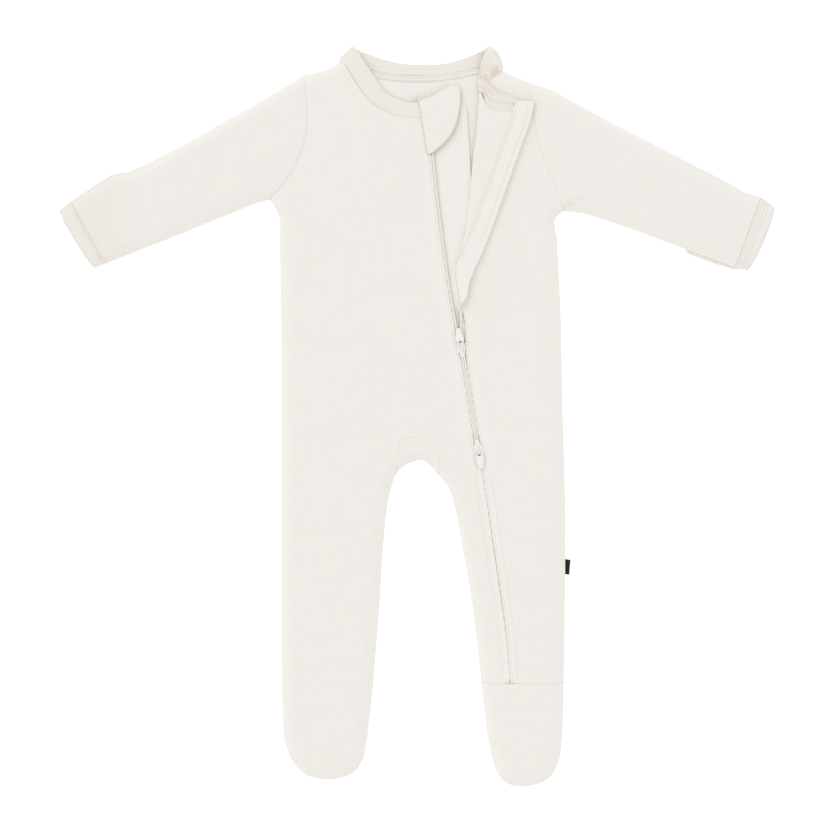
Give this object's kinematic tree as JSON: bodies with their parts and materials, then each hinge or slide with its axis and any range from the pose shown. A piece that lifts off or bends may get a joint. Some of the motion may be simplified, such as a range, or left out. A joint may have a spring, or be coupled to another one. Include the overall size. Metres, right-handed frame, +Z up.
{
  "type": "baby sleepsuit",
  "caption": "Footed baby sleepsuit lying face up, with long cuffed sleeves, fold-over mitts and a zip from neck to ankle, its collar turned back.",
  "frame": {"origin": "middle of the garment's length and span, on the surface it lies on", "axes": "+X to the wearer's left, +Y to the head, +Z up out of the front"},
  "size_m": [0.5732, 0.5938, 0.0123],
  "materials": {
    "cloth": "fine off-white jersey",
    "band": "fine off-white rib, folded double",
    "cuff": "off-white jersey hem",
    "tape": "woven zip tape",
    "coil": "nylon coil",
    "slider": "smooth off-white enamel",
    "label": "black woven loop, bare"
  },
  "bodies": {
    "root": {"back": "cloth", "front_right": "cloth", "front_left": "cloth", "foot_left": "cloth", "gusset": "cloth", "sleeve_right": "cloth", "sleeve_left": "cloth", "mitt_right": "cloth", "mitt_left": "cloth", "placket": "cloth", "zip_guard": "cloth", "neckband": "band", "cuff_right": "cuff", "cuff_left": "cuff", "zip_tape_right": "tape", "zip_tape_left": "tape", "coil_right": "coil", "coil_left": "coil", "slider_top": "slider", "slider_bottom": "slider", "label": "label"},
    "pull_top": {"pull_top": "slider"},
    "pull_bottom": {"pull_bottom": "slider"}
  },
  "joints": [
    {"name": "pull_top_hinge", "type": "hinge", "parent": "root", "child": "pull_top", "pos_m": [0.03546, 0.05536, 0.0088], "axis": [0.9841, 0.1777, 0], "range_deg": [0, 170]},
    {"name": "pull_bottom_hinge", "type": "hinge", "parent": "root", "child": "pull_bottom", "pos_m": [0.04918, -0.02744, 0.0088], "axis": [-0.9858, -0.1677, 0], "range_deg": [0, 170]}
  ]
}
